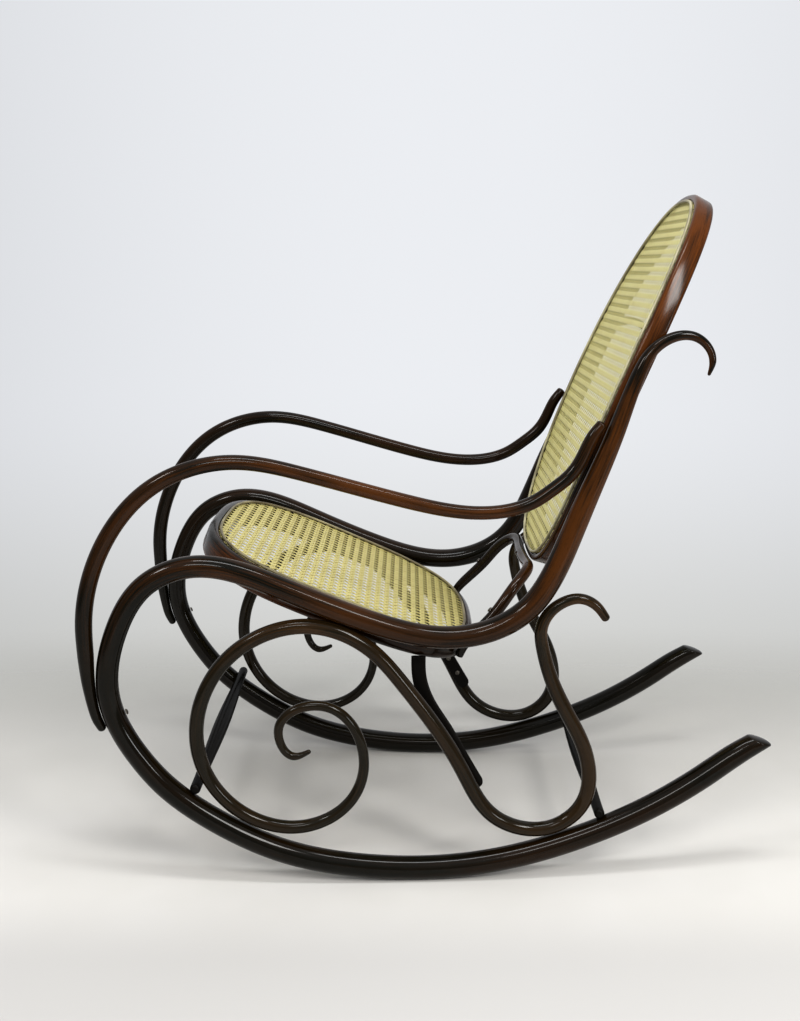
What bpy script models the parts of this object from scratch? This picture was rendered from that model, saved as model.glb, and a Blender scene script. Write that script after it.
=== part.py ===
"""Bentwood rocking chair with a caned seat and back, in metres, +Z up.

The chair faces -Y and its left side, as sat in, is +X. Each side of the chair is an upright
plane that holds three bent rods. The two planes close in a little towards the rear.
Bends are listed as (Y, Z, diameter) in millimetres, from one end of the rod to the other.
"""
import math

import bmesh
import bpy
import numpy as np
from mathutils import Matrix, Vector

MM = 0.001
SIDES = (("left", 1.0), ("right", -1.0))

# The two upright side planes
SIDE_X = 0.2384
TOE_IN = 0.05

# Rods
RUNNER_RADIUS = 0.018
MAX_TURN = math.radians(14)
MAX_STEP = 0.104
GAP = 0.0005

SIDE_ROD = (
    (398, 782, 5), (402, 799, 10), (378, 833, 13), (315, 815, 17), (299, 788, 20),
    (268, 702, 26), (220, 581, 33), (194, 515, 35), (145, 434, 35), (44, 392, 34),
    (-89, 417, 34), (-221, 471, 34), (-351, 504, 33), (-417, 477, 33), (-461, 411, 33),
    (-478, 305, 33), (-436, 207, 34), (-404, 166, 35), (-323, 101, 36), (-230, 52.5, 36),
    (-107, 23.4, 36), (-19, 17.4, 36), (61, 21.4, 36), (119, 30.4, 36), (238, 65, 36),
    (347, 114, 36), (431, 167, 36), (468, 194, 35), (507, 219, 32),
)
ARM_ROD = (
    (245.5, 709, 16), (233, 692, 18), (221, 666, 19), (206, 640, 20), (179, 616, 20),
    (151, 597, 20), (65, 581, 20), (-32, 598, 21), (-191, 642, 21), (-284, 658, 22),
    (-399, 624, 24), (-473, 541, 25), (-509, 413, 25), (-508.5, 369, 24),
    (-507.5, 337, 20.5), (-505, 311, 18), (-501.8, 290, 16.2), (-496.5, 270, 15.5),
    (-491, 258, 13.5),
)
SCROLL_ROD = (
    (262, 419, 13), (247, 438, 15), (222, 449, 16), (197, 443, 17), (177, 427, 18),
    (166, 402, 19), (168, 376, 20), (202, 281, 23), (236, 212, 23), (236, 118, 23),
    (191, 82, 22), (98, 103, 23),
    (52, 175, 23), (30, 216, 23), (-40, 318, 23), (-87, 372, 23), (-175, 411, 23),
    (-302, 362, 22), (-349, 215, 22), (-298, 125, 21), (-200, 90, 20), (-133, 118, 18),
    (-100, 187, 16), (-162, 286, 15), (-228, 250, 14), (-206, 206, 12), (-183, 213, 7),
)

# Seat: a ring lying on a plane that falls towards the rear
SEAT_SLOPE = math.atan(0.42)
SEAT_CENTRE = Vector((0.0, -0.1387, 0.4423))
SEAT_RIM = (0.2278, 0.2335, 0.2315, 3.0, 3.0)
SEAT_SECTION = {"depth": 0.040, "rim": 0.014, "edge": 0.009}

# Back: a ring wrapped on a surface whose lean grows with height
BACK_LOW_Z = 0.405
BACK_HIGH_Z = 1.095
BACK_ROWS = 400
BACK_START_Y = 0.1800
BACK_START_Z = 0.462
BACK_LEAN = 0.3067
BACK_LEAN_GROWTH = 0.1978
BACK_WAIST_Z = 0.720
BACK_RIM = (0.2105, 0.350, 0.278, 2.4, 2.7)
BACK_SECTION = {"depth": 0.030, "rim": 0.010, "edge": 0.005}

# Shared by both rings
HOOP_WIDTH = 0.032
LEDGE_DROP = 0.003
CANE_THICKNESS = 0.0016
CANE_INSET = 0.0015
SEAT_CANE_DIP = 0.00015
BEAD_RADIUS = 0.0022
HOOP_POINTS = 56
CANE_CELLS = 10

# Back brace, right half from the middle outwards as (X, Y, Z, diameter) in millimetres
BRACE_HALF = (
    (0, 156, 462, 17), (60, 158, 462, 17), (112, 154, 461, 18), (140, 132, 441, 18),
    (153, 103, 404, 18), (157, 72, 372, 17), (156, 54, 351, 15), (155, 47, 335, 13),
)

# Struts, as (X, Y, Z) in millimetres along the middle of the bar
STRUT_LINE = (
    (201, -17, 349), (204, -16, 320), (211, -3, 280), (215, 22, 240), (217, 48, 194),
    (218, 72, 152),
)
STRUT_WIDTH = 0.022
STRUT_THICKNESS = 0.009

# Turned stretchers lie on top of the runners
STRETCHER_END_RADIUS = 0.008
STRETCHER_MID_RADIUS = 0.0125
FRONT_STRETCHER_YZ = (-0.3553, 0.1573)
REAR_STRETCHER_YZ = (0.2635, 0.1040)

# Slotted screw heads
SCREW_RADIUS = 0.0045
SCREW_HEIGHT = 0.0022
SLOT_WIDTH = 0.0011
SLOT_DEPTH = 0.0009
ARM_SCREW_YZ = (-0.4530, 0.2822)
ARM_SCREW_FACING = (0.0, 0.91, 0.41)
BRACE_SCREW = (0.153, 0.0943, 0.4092)
BRACE_SCREW_FACING = (0.0, -0.74, 0.67)
STRUT_SCREWS = (("upper", 0.044, 0.201), ("lower", 0.061, 0.172))


def clear_scene():
    """Start from an empty scene, with one collection for the chair."""
    for item in list(bpy.data.objects):
        bpy.data.objects.remove(item)
    chair = bpy.data.collections.new("rocking_chair")
    bpy.context.scene.collection.children.link(chair)
    return chair


def principled(name, colour, roughness, metallic=0.0, coat=0.0):
    """A plain Principled material."""
    material = bpy.data.materials.new(name)
    material.use_nodes = True
    shader = material.node_tree.nodes["Principled BSDF"]
    shader.inputs["Base Color"].default_value = (*colour, 1.0)
    shader.inputs["Roughness"].default_value = roughness
    shader.inputs["Metallic"].default_value = metallic
    shader.inputs["Coat Weight"].default_value = coat
    return material


def stained_wood(name):
    """Dark red-brown stain under a glossy polish."""
    return principled(name, (0.075, 0.028, 0.014), 0.28, coat=0.6)


def woven_cane(name):
    """Pale straw-coloured cane."""
    return principled(name, (0.72, 0.60, 0.33), 0.5)


def aged_bead(name):
    """Grey-brown split cane that fills the groove."""
    return principled(name, (0.30, 0.27, 0.21), 0.6)


def darkened_steel(name):
    """Old darkened screw steel."""
    return principled(name, (0.20, 0.18, 0.16), 0.4, metallic=1.0)


def add_object(collection, name, data, material):
    """Put a mesh or curve into the chair under its own name."""
    item = bpy.data.objects.new(name, data)
    data.materials.clear()
    data.materials.append(material)
    collection.objects.link(item)
    return item


def smooth_shading(mesh, sharp_degrees=40):
    """Shade round, keeping edges sharper than the angle crisp."""
    mesh.shade_smooth()
    mesh.set_sharp_from_angle(angle=math.radians(sharp_degrees))


# ---------------------------------------------------------------- bent rods
def side_plane_x(y):
    """Distance of a side plane from the middle of the chair at depth y."""
    return SIDE_X - TOE_IN * y


def second_derivatives(chord, values):
    """Bending of the natural cubic through the values, zero at both ends."""
    count = len(values)
    step = np.diff(chord)
    system = np.eye(count)
    load = np.zeros_like(values)
    slope = np.diff(values, axis=0) / step[:, None]
    for row in range(1, count - 1):
        system[row, row - 1] = step[row - 1]
        system[row, row] = 2.0 * (step[row - 1] + step[row])
        system[row, row + 1] = step[row]
        load[row] = 6.0 * (slope[row] - slope[row - 1])
    return np.linalg.solve(system, load)


def smooth_line(points, samples=1600):
    """Natural cubic through rows of (X, Y, Z, diameter); diameters vary evenly."""
    points = np.array(points, dtype=float)
    places = points[:, :3]
    chord = np.r_[0.0, np.cumsum(np.linalg.norm(np.diff(places, axis=0), axis=1))]
    bend = second_derivatives(chord, places)
    at = np.linspace(0.0, chord[-1], samples)
    piece = np.clip(np.searchsorted(chord, at) - 1, 0, len(chord) - 2)
    step = (chord[piece + 1] - chord[piece])[:, None]
    ahead = (at[:, None] - chord[piece][:, None]) / step
    back = 1.0 - ahead
    line = back * places[piece] + ahead * places[piece + 1]
    line += (back ** 3 - back) * bend[piece] * step ** 2 / 6.0
    line += (ahead ** 3 - ahead) * bend[piece + 1] * step ** 2 / 6.0
    diameter = np.interp(at, chord, points[:, 3])
    return np.column_stack((line, diameter))


def thin_out(line):
    """Keep more points where the line turns sharply and fewer where it runs straight."""
    legs = np.diff(line[:, :3], axis=0)
    length = np.linalg.norm(legs, axis=1)
    heading = legs / length[:, None]
    turn = np.linalg.norm(np.diff(heading, axis=0), axis=1)
    turn = np.r_[turn[0], turn]
    measure = np.r_[0.0, np.cumsum(turn / MAX_TURN + length / MAX_STEP)]
    marks = np.linspace(0.0, measure[-1], int(math.ceil(measure[-1])) + 1)
    return np.column_stack([np.interp(marks, measure, column) for column in line.T])


def bent_rod(collection, name, points, material, roundness=2):
    """A round rod bent along a smooth line; points are (X, Y, Z, diameter) in metres."""
    line = thin_out(smooth_line(points))
    thickest = line[:, 3].max() / 2.0
    curve = bpy.data.curves.new(name, "CURVE")
    curve.dimensions = "3D"
    curve.twist_mode = "MINIMUM"
    curve.bevel_depth = thickest
    curve.bevel_resolution = roundness
    curve.use_fill_caps = True
    spline = curve.splines.new("POLY")
    spline.points.add(len(line) - 1)
    for point, row in zip(spline.points, line):
        point.co = (*row[:3], 1.0)
        point.radius = row[3] / 2.0 / thickest
    spline.use_smooth = True
    return add_object(collection, name, curve, material)


def in_side_plane(bends, side):
    """Lay (Y, Z, diameter) bends in millimetres into one side plane, in metres."""
    rows = []
    for y, z, diameter in bends:
        x = side * side_plane_x(y * MM)
        rows.append((x, y * MM, z * MM, diameter * MM))
    return rows


def side_frame(collection, label, side, material):
    """The three bent rods of one side of the chair."""
    named = (("side_rod", SIDE_ROD), ("arm", ARM_ROD), ("scroll", SCROLL_ROD))
    for name, bends in named:
        points = in_side_plane(bends, side)
        bent_rod(collection, f"{name}_{label}", points, material)


def back_brace(collection, material):
    """One rod: level under the back hoop, both legs down to the seat hoop."""
    half = [tuple(value * MM for value in row) for row in BRACE_HALF]
    other = [(-x, y, z, diameter) for x, y, z, diameter in reversed(half[1:])]
    bent_rod(collection, "back_brace", other + half, material)


# ---------------------------------------------------------------- rings
def rim_points(rim, count, inset=0.0):
    """Points round a rounded outline with its own reach and squareness at each end.

    rim is (half width, reach towards +Y, reach towards -Y, squareness of each end).
    Both halves are superellipses that share the half width.
    """
    angle = np.linspace(0.0, 2.0 * math.pi, count, endpoint=False)
    return outline(rim, angle, inset)


def outline(rim, angle, inset=0.0):
    """The outline's (x, y) at the given angles round its middle."""
    half_width, ahead, behind, square_ahead, square_behind = rim
    across = np.cos(angle)
    along = np.sin(angle)
    reach = np.where(along >= 0.0, ahead, behind) - inset
    power = np.where(along >= 0.0, square_ahead, square_behind)
    total = np.abs(across / (half_width - inset)) ** power + np.abs(along / reach) ** power
    radius = total ** (-1.0 / power)
    return np.column_stack((radius * across, radius * along))


def closed_line(name, points):
    """A flat closed line as a curve."""
    curve = bpy.data.curves.new(name, "CURVE")
    curve.dimensions = "2D"
    curve.fill_mode = "NONE"
    spline = curve.splines.new("POLY")
    spline.points.add(len(points) - 1)
    for point, (x, y) in zip(spline.points, points):
        point.co = (x, y, 0.0, 1.0)
    spline.use_cyclic_u = True
    spline.use_smooth = True
    return curve


def take_mesh(curve, name):
    """Turn a curve into a welded mesh and discard the curve."""
    holder = bpy.data.objects.new(name, curve)
    bpy.context.scene.collection.objects.link(holder)
    bpy.context.view_layer.update()
    placed = holder.evaluated_get(bpy.context.evaluated_depsgraph_get())
    mesh = bpy.data.meshes.new_from_object(placed)
    bpy.data.objects.remove(holder)
    mesh.name = name
    body = bmesh.new()
    body.from_mesh(mesh)
    bmesh.ops.remove_doubles(body, verts=body.verts, dist=1e-5)
    bmesh.ops.recalc_face_normals(body, faces=body.faces)
    body.to_mesh(mesh)
    body.free()
    return mesh


def hoop_section(depth, rim, edge):
    """Section of a caned ring: outer rim, a ledge for the cane, rounded outer edges.

    x runs inwards from the outer edge and y up to the rim's top.
    """
    cut = edge * (1.0 - math.sqrt(0.5))
    return (
        (0.0, -edge), (cut, -cut), (edge, 0.0), (rim, 0.0),
        (rim, -LEDGE_DROP), (HOOP_WIDTH, -LEDGE_DROP), (HOOP_WIDTH, -depth),
        (edge, -depth), (cut, cut - depth), (0.0, edge - depth),
    )


def hoop_mesh(name, rim, section_sizes):
    """The ring: its section carried round the outline."""
    path = closed_line(name, rim_points(rim, HOOP_POINTS))
    section = closed_line(f"{name}_section", hoop_section(**section_sizes))
    section_holder = bpy.data.objects.new(f"{name}_section", section)
    bpy.context.scene.collection.objects.link(section_holder)
    path.bevel_mode = "OBJECT"
    path.bevel_object = section_holder
    mesh = take_mesh(path, name)
    bpy.data.objects.remove(section_holder)
    smooth_shading(mesh)
    return mesh


def bead_mesh(name, rim, rim_width):
    """The round bead that lies on the cane's edge, inside the rim."""
    inset = rim_width + BEAD_RADIUS + CANE_INSET
    path = closed_line(name, rim_points(rim, HOOP_POINTS, inset))
    path.bevel_depth = BEAD_RADIUS
    path.bevel_resolution = 1
    mesh = take_mesh(path, name)
    lift = BEAD_RADIUS + GAP - (LEDGE_DROP - GAP - CANE_THICKNESS)
    mesh.transform(Matrix.Translation((0.0, 0.0, lift)))
    smooth_shading(mesh)
    return mesh


def cane_mesh(name, rim, rim_width, dip=0.0):
    """The cane panel: a square grid stretched to the outline, one sheet thick.

    Its very edge is drawn down by the dip, where the strands turn into their holes.
    """
    body = bmesh.new()
    bmesh.ops.create_grid(body, x_segments=CANE_CELLS, y_segments=CANE_CELLS, size=1.0)
    for corner in body.verts:
        scale = max(abs(corner.co.x), abs(corner.co.y))
        angle = math.atan2(corner.co.y, corner.co.x)
        edge = outline(rim, np.array([angle]), rim_width + CANE_INSET)[0]
        drop = dip if scale > 1.0 - 0.5 / CANE_CELLS else 0.0
        corner.co = (scale * edge[0], scale * edge[1], GAP - LEDGE_DROP - drop)
    faces = list(body.faces)
    grown = bmesh.ops.extrude_face_region(body, geom=faces)
    top = [item for item in grown["geom"] if isinstance(item, bmesh.types.BMVert)]
    bmesh.ops.translate(body, verts=top, vec=(0.0, 0.0, CANE_THICKNESS))
    bmesh.ops.recalc_face_normals(body, faces=body.faces)
    mesh = bpy.data.meshes.new(name)
    body.to_mesh(mesh)
    body.free()
    smooth_shading(mesh)
    return mesh


def seat_taper(mesh):
    """Narrow the flat seat towards the rear as the side planes do."""
    for corner in mesh.vertices:
        narrowing = TOE_IN * corner.co.y * math.cos(SEAT_SLOPE)
        half_width = SEAT_RIM[0]
        corner.co.x *= 1.0 - narrowing / half_width


def seat_pieces(collection, wood, cane, bead):
    """Hoop, cane and bead of the seat, laid on the falling seat plane."""
    placing = Matrix.Translation(SEAT_CENTRE) @ Matrix.Rotation(-SEAT_SLOPE, 4, "X")
    panel = cane_mesh("seat_cane", SEAT_RIM, SEAT_SECTION["rim"], SEAT_CANE_DIP)
    pieces = (
        ("seat_hoop", hoop_mesh("seat_hoop", SEAT_RIM, SEAT_SECTION), wood),
        ("seat_cane", panel, cane),
        ("seat_spline", bead_mesh("seat_spline", SEAT_RIM, SEAT_SECTION["rim"]), bead),
    )
    for name, mesh, material in pieces:
        seat_taper(mesh)
        mesh.transform(placing)
        add_object(collection, name, mesh, material)


def back_line():
    """Height, depth, lean and distance travelled up the middle of the back."""
    height = np.linspace(BACK_LOW_Z, BACK_HIGH_Z, BACK_ROWS)
    run = height - BACK_START_Z
    depth = BACK_START_Y + BACK_LEAN * run + BACK_LEAN_GROWTH * run ** 2
    slope = BACK_LEAN + 2.0 * BACK_LEAN_GROWTH * run
    travelled = np.cumsum(np.sqrt(1.0 + slope ** 2)) * (height[1] - height[0])
    travelled -= np.interp(BACK_WAIST_Z, height, travelled)
    return height, depth, slope, travelled


def wrap_on_back(mesh, forward):
    """Bend a flat piece onto the leaning back.

    The piece's y becomes distance up the back from its waist, and its z, raised by
    forward, becomes distance in front of the back's middle surface.
    """
    height, depth, slope, travelled = back_line()
    for corner in mesh.vertices:
        up = corner.co.y
        out = corner.co.z + forward
        z = np.interp(up, travelled, height)
        y = np.interp(up, travelled, depth)
        lean = math.atan(np.interp(up, travelled, slope))
        corner.co = (corner.co.x, y - out * math.cos(lean), z + out * math.sin(lean))
    mesh.update()


def back_pieces(collection, wood, cane, bead):
    """Hoop, cane and bead of the back."""
    pieces = (
        ("back_hoop", hoop_mesh("back_hoop", BACK_RIM, BACK_SECTION), wood),
        ("back_cane", cane_mesh("back_cane", BACK_RIM, BACK_SECTION["rim"]), cane),
        ("back_spline", bead_mesh("back_spline", BACK_RIM, BACK_SECTION["rim"]), bead),
    )
    for name, mesh, material in pieces:
        wrap_on_back(mesh, BACK_SECTION["depth"] / 2.0)
        add_object(collection, name, mesh, material)


# ---------------------------------------------------------------- bars
def strut(collection, label, side, material):
    """A flat bar with one rounded end, down the inner face of the scroll's diagonal."""
    rows = [(x * MM, y * MM, z * MM, 0.0) for x, y, z in STRUT_LINE]
    line = thin_out(smooth_line(rows))[:, :3]
    flat = line[:, 1:]
    heading = np.gradient(flat, axis=0)
    heading /= np.linalg.norm(heading, axis=1)[:, None]
    sideways = np.column_stack((-heading[:, 1], heading[:, 0])) * STRUT_WIDTH / 2.0
    sweep = np.linspace(0.0, math.pi, 7)[1:-1, None]
    tip = flat[-1] + np.cos(sweep) * sideways[-1] + np.sin(sweep) * heading[-1] * STRUT_WIDTH / 2.0
    around = np.vstack((flat + sideways, tip, (flat - sideways)[::-1]))
    curve = closed_line(f"strut_{label}", around)
    curve.fill_mode = "BOTH"
    curve.extrude = STRUT_THICKNESS / 2.0
    mesh = take_mesh(curve, f"strut_{label}")
    for corner in mesh.vertices:
        y, z, out = corner.co
        middle = np.interp(z, line[::-1, 2], line[::-1, 0])
        corner.co = (side * (middle + out), y, z)
    if side < 0.0:
        mesh.flip_normals()
    smooth_shading(mesh)
    add_object(collection, f"strut_{label}", mesh, material)


def stretcher(collection, name, place, material):
    """A turned bar: thin ends swelling to the middle."""
    y, z = place
    half_length = side_plane_x(y) + RUNNER_RADIUS / 2.0
    swell = STRETCHER_MID_RADIUS - STRETCHER_END_RADIUS
    stations = np.linspace(1.0, -1.0, 11)
    profile = [(0.0, half_length)]
    for station in stations:
        radius = STRETCHER_END_RADIUS + swell * math.cos(station * math.pi / 2.0) ** 2
        profile.append((radius, station * half_length))
    profile.append((0.0, -half_length))
    body = turned_mesh(name, profile, 12)
    body.transform(Matrix.Translation((0.0, y, z)) @ Matrix.Rotation(math.pi / 2.0, 4, "Y"))
    add_object(collection, name, body, material)


def turned_mesh(name, profile, steps):
    """Spin a profile of (radius, height) points about the Z axis."""
    body = bmesh.new()
    rings = [body.verts.new((radius, 0.0, height)) for radius, height in profile]
    edges = [body.edges.new(pair) for pair in zip(rings[:-1], rings[1:])]
    bmesh.ops.spin(
        body, geom=rings + edges, cent=(0, 0, 0), axis=(0, 0, 1),
        angle=2.0 * math.pi, steps=steps, use_duplicate=False,
    )
    bmesh.ops.remove_doubles(body, verts=body.verts, dist=1e-6)
    bmesh.ops.recalc_face_normals(body, faces=body.faces)
    mesh = bpy.data.meshes.new(name)
    body.to_mesh(mesh)
    body.free()
    smooth_shading(mesh)
    return mesh


# ---------------------------------------------------------------- screws
def screw_mesh():
    """A low domed head with one straight slot, flat face at z = 0."""
    rows = 4
    profile = [(0.0, SCREW_HEIGHT)]
    for row in range(1, rows + 1):
        angle = row / rows * math.pi / 2.0
        profile.append((SCREW_RADIUS * math.sin(angle), SCREW_HEIGHT * math.cos(angle)))
    profile.append((0.0, 0.0))
    head = bpy.data.objects.new("screw", turned_mesh("screw", profile, 12))
    slot = bpy.data.objects.new("slot", bpy.data.meshes.new("slot"))
    body = bmesh.new()
    size = (3.0 * SCREW_RADIUS, SLOT_WIDTH, 2.0 * SLOT_DEPTH)
    bmesh.ops.create_cube(body, size=1.0, matrix=Matrix.Diagonal((*size, 1.0)))
    bmesh.ops.translate(body, verts=body.verts, vec=(0.0, 0.0, SCREW_HEIGHT))
    body.to_mesh(slot.data)
    body.free()
    for item in (head, slot):
        bpy.context.scene.collection.objects.link(item)
    cut = head.modifiers.new("slot", "BOOLEAN")
    cut.operation = "DIFFERENCE"
    cut.solver = "EXACT"
    cut.object = slot
    bpy.context.view_layer.update()
    placed = head.evaluated_get(bpy.context.evaluated_depsgraph_get())
    mesh = bpy.data.meshes.new_from_object(placed)
    for item in (head, slot):
        bpy.data.objects.remove(item)
    mesh.name = "screw_head"
    return mesh


def place_screw(collection, name, mesh, place, facing, material):
    """One screw head at a place in metres, its dome turned to the facing direction."""
    item = add_object(collection, name, mesh, material)
    turn = Vector(facing).to_track_quat("Z", "Y").to_matrix().to_4x4()
    item.matrix_world = Matrix.Translation(Vector(place)) @ turn


def strut_inner_face(z):
    """Distance of a strut's inner face from the middle of the chair at height z."""
    line = np.array(STRUT_LINE) * MM
    middle = np.interp(z, line[::-1, 2], line[::-1, 0])
    return middle - STRUT_THICKNESS / 2.0 - 2.0 * GAP


def screws(collection, material):
    """All the visible screw heads."""
    mesh = screw_mesh()
    for label, side in SIDES:
        y, z = ARM_SCREW_YZ
        place = (side * side_plane_x(y), y, z)
        place_screw(collection, f"arm_screw_{label}", mesh, place, ARM_SCREW_FACING, material)
        x, y, z = BRACE_SCREW
        place = (side * x, y, z)
        name = f"brace_screw_{label}"
        place_screw(collection, name, mesh, place, BRACE_SCREW_FACING, material)
        for step, y, z in STRUT_SCREWS:
            name = f"strut_screw_{label}_{step}"
            place = (side * strut_inner_face(z), y, z)
            place_screw(collection, name, mesh, place, (-side, 0, 0), material)
    middle = [value * MM for value in BRACE_HALF[0]]
    place = (0.0, middle[1] - middle[3] / 2.0 - GAP, middle[2])
    place_screw(collection, "brace_screw_middle", mesh, place, (0, -1, 0), material)


def build():
    """Make every piece of the chair."""
    chair = clear_scene()
    rods = stained_wood("rod_stain")
    hoops = stained_wood("hoop_stain")
    turned = stained_wood("turned_stain")
    for label, side in SIDES:
        side_frame(chair, label, side, rods)
        strut(chair, label, side, turned)
    back_brace(chair, rods)
    cane = woven_cane("cane")
    bead = aged_bead("cane_bead")
    seat_pieces(chair, hoops, cane, bead)
    back_pieces(chair, hoops, cane, bead)
    stretcher(chair, "front_stretcher", FRONT_STRETCHER_YZ, turned)
    stretcher(chair, "rear_stretcher", REAR_STRETCHER_YZ, turned)
    screws(chair, darkened_steel("screw_steel"))


build()
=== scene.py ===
# %% [markdown]
# # A bentwood rocking chair
# The CAD model gives every place and size. This lesson builds the finished chair around it:
# steam-bent rods, two caned rings, turned bars and screw heads, then a floor, lights and a
# room. Everything is in metres; the chair faces -Y, its left side is +X, and Z is up.

# %% Load the frame
import math

import bpy
import numpy as np
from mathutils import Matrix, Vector


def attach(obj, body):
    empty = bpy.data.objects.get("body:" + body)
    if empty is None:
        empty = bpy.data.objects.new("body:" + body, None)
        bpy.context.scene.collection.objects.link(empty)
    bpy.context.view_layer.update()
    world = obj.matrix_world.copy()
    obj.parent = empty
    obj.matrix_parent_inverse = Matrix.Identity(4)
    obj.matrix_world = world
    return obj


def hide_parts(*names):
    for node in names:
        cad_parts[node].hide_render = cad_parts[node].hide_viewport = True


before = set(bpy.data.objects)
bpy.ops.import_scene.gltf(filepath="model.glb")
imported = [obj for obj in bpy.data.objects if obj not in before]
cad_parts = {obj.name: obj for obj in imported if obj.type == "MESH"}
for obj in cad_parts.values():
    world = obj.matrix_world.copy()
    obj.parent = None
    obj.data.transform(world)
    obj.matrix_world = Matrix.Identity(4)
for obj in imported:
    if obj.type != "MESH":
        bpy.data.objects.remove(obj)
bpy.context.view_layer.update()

MM = 0.001
SIDES = (("left", 1.0), ("right", -1.0))

# %% [markdown]
# ## The camera
# A chair is recognised by its side outline, so the camera stands beside it, a little above
# the arms, looks across it and tilts down a little. It could be aimed with a Track To
# constraint; two angles say the same and can be read. A camera looks along its own -Z, so
# to_track_quat turns the direction into a rotation.

# %% Camera
CAMERA_PLACE = Vector((1.874, -0.032, 0.934))
CAMERA_TILT = math.radians(12.044)
CAMERA_TURN = math.radians(-0.455)
CAMERA_LENS = 51.75


def stand_camera(place, tilt, turn, lens):
    """A camera that looks along -X, turned about Z and tilted down."""
    camera = bpy.data.objects.new("camera", bpy.data.cameras.new("camera"))
    bpy.context.scene.collection.objects.link(camera)
    camera.data.sensor_fit = "HORIZONTAL"
    camera.data.lens = lens
    camera.data.clip_start = 0.05
    camera.data.clip_end = 60.0
    ahead = Vector((
        -math.cos(tilt) * math.cos(turn),
        math.cos(tilt) * math.sin(turn),
        -math.sin(tilt),
    ))
    camera.location = place
    camera.rotation_mode = "QUATERNION"
    camera.rotation_quaternion = ahead.to_track_quat("-Z", "Y")
    return camera


bpy.context.scene.camera = stand_camera(CAMERA_PLACE, CAMERA_TILT, CAMERA_TURN, CAMERA_LENS)
print("camera", tuple(round(value, 3) for value in CAMERA_PLACE), "lens", CAMERA_LENS)

# %% [markdown]
# ## Writing shaders as arithmetic
# A material is a tree of small nodes. Adding and linking each one by hand takes three lines
# a node and hides the formula. A small class wraps one output socket instead, so that
# `grain * 0.5 + 0.2` adds the two Math nodes by itself. Colours go through a Mix node,
# because a Math node would turn them grey.


# %% One socket, with arithmetic
NOISE_ROUGHNESS = 0.55


class Wire:
    """An output socket that knows how to add the node that uses it."""

    def __init__(self, tree, socket=None):
        """A wire without a socket is only a place to start from."""
        self.tree = tree
        self.socket = socket

    def node(self, kind, settings=None, inputs=None, output=0):
        """Add a node: its settings first, then numbers or wires into its inputs."""
        made = self.tree.nodes.new(kind)
        for name, value in (settings or {}).items():
            setattr(made, name, value)
        for place, value in (inputs or {}).items():
            if isinstance(value, Wire):
                self.tree.links.new(value.socket, made.inputs[place])
            else:
                made.inputs[place].default_value = value
        return Wire(self.tree, made.outputs[output])

    def math(self, operation, first, second=0.0):
        """One Math node."""
        return self.node("ShaderNodeMath", {"operation": operation}, {0: first, 1: second})

    def vector(self, operation, other=(0.0, 0.0, 0.0), output="Vector"):
        """One Vector Math node, on this vector and another."""
        inputs = {0: self, 1: other}
        return self.node("ShaderNodeVectorMath", {"operation": operation}, inputs, output)

    def axis(self, letter):
        """One part of this vector, X, Y or Z."""
        return self.node("ShaderNodeSeparateXYZ", None, {0: self}, letter)

    def grain(self):
        """The piece's own "grain": metres along it, then two places across it."""
        return self.node("ShaderNodeAttribute", {"attribute_name": "grain"}, None, "Vector")

    def place(self):
        """The place on the chair, in metres."""
        return self.node("ShaderNodeTexCoord", None, None, "Object")

    def __add__(self, other):
        return self.math("ADD", self, other)

    def __sub__(self, other):
        return self.math("SUBTRACT", self, other)

    def __rsub__(self, other):
        return self.math("SUBTRACT", other, self)

    def __mul__(self, other):
        return self.math("MULTIPLY", self, other)

    __radd__ = __add__
    __rmul__ = __mul__

    def rise(self, low, high, start=0.0, end=1.0, kind="LINEAR"):
        """Start below low, end above high, and an even climb between them."""
        settings = {"clamp": True, "interpolation_type": kind}
        places = {0: self, 1: low, 2: high, 3: start, 4: end}
        return self.node("ShaderNodeMapRange", settings, places)

    def ease(self, low, high, start=0.0, end=1.0):
        """Like rise, with a soft start and a soft end."""
        return self.rise(low, high, start, end, "SMOOTHSTEP")

    def blend(self, below, above):
        """Mix two colours: below where this wire is 0, above where it is 1."""
        places = {0: self}
        for number, colour in ((6, below), (7, above)):
            places[number] = colour if isinstance(colour, Wire) else (*colour, 1.0)
        return self.node("ShaderNodeMix", {"data_type": "RGBA"}, places, output=2)

    def noise(self, scale, detail):
        """Cloudy noise, from 0 to 1, at so many lumps a metre along each axis."""
        stretched = self.node("ShaderNodeMapping", None, {"Vector": self, "Scale": scale})
        inputs = {"Vector": stretched, "Scale": 1.0}
        inputs.update({"Detail": detail, "Roughness": NOISE_ROUGHNESS})
        return self.node("ShaderNodeTexNoise", None, inputs)

    def bump(self, distance):
        """This height, in parts of distance, as a surface direction."""
        inputs = {"Strength": 1.0, "Distance": distance, "Height": self}
        return self.node("ShaderNodeBump", None, inputs)


def finish_material(name, values):
    """A material with one Principled shader, and a wire to start its patterns from."""
    material = bpy.data.materials.new(name)
    material.use_nodes = True
    shader = material.node_tree.nodes["Principled BSDF"]
    for place, value in values.items():
        shader.inputs[place].default_value = value
    return material, shader, Wire(material.node_tree)


def feed(tree, shader, wires):
    """Link each wire to the shader's input of that name."""
    for place, wire in wires.items():
        tree.links.new(wire.socket, shader.inputs[place])


print("shader helper ready:", ", ".join(name for name in vars(Wire) if name[0] != "_"))

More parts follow.
